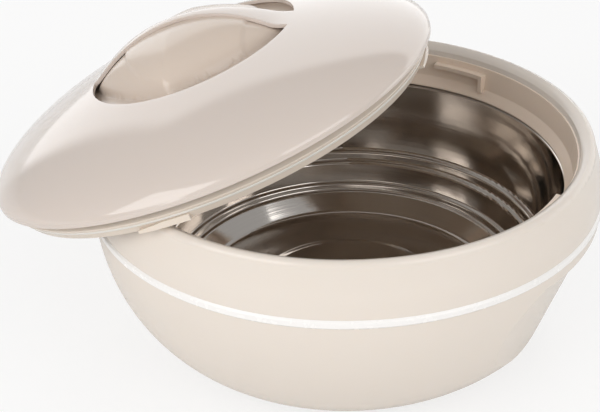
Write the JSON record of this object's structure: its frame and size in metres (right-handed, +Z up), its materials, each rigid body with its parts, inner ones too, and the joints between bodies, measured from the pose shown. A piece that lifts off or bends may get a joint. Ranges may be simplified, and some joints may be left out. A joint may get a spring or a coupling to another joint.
{
  "type": "insulated casserole",
  "caption": "Round insulated casserole with a stepped steel bowl, rolled rim, bayonet neck and a domed twist lid with a strap handle, the lid lying leaned on the rim.",
  "frame": {"origin": "centre of the base on the table, on the axis of the round body", "axes": "+Z up along the axis of the body, +X to the right and +Y away from the viewer in the picture"},
  "size_m": [0.3101, 0.263, 0.1722],
  "materials": {
    "cream_shell": "gloss moulded",
    "white_trim": "gloss moulded",
    "neck": "gloss moulded",
    "steel": "mirror polished",
    "silicone": "soft",
    "foam": "foamed",
    "base": "fine grain",
    "pad": "soft",
    "screw": "plated",
    "lid_shell": "gloss moulded",
    "grip": "satin moulded",
    "lid_inner": "gloss moulded"
  },
  "bodies": {
    "casserole": {"casing_lower": "cream_shell", "trim_ring": "white_trim", "casing_upper": "cream_shell", "neck_collar": "neck", "steel_bowl": "steel", "bowl_gasket": "silicone", "body_foam": "foam", "base_cover": "base", "base_plug": "base", "foot_pad_1": "pad", "foot_pad_2": "pad", "foot_pad_3": "pad", "foot_pad_4": "pad", "base_screw_1": "screw", "base_screw_2": "screw", "base_screw_3": "screw", "base_screw_4": "screw"},
    "seal": {"lid_seal": "silicone"},
    "lid": {"lid_dome": "lid_shell", "grip_cup": "grip", "lid_inner_cover": "lid_inner", "lid_foam": "foam", "lid_plug": "base"}
  },
  "joints": [
    {"name": "lid_lift", "type": "slide", "parent": "casserole", "child": "seal", "axis": [0, 0, 1], "range_m": [0, 0.18]},
    {"name": "lid_twist", "type": "hinge", "parent": "seal", "child": "lid", "pos_m": [-0.06492, 0.01439, 0.10902], "axis": [-0.3441, 0.0763, 0.9358], "range_deg": [-16, 0]}
  ]
}
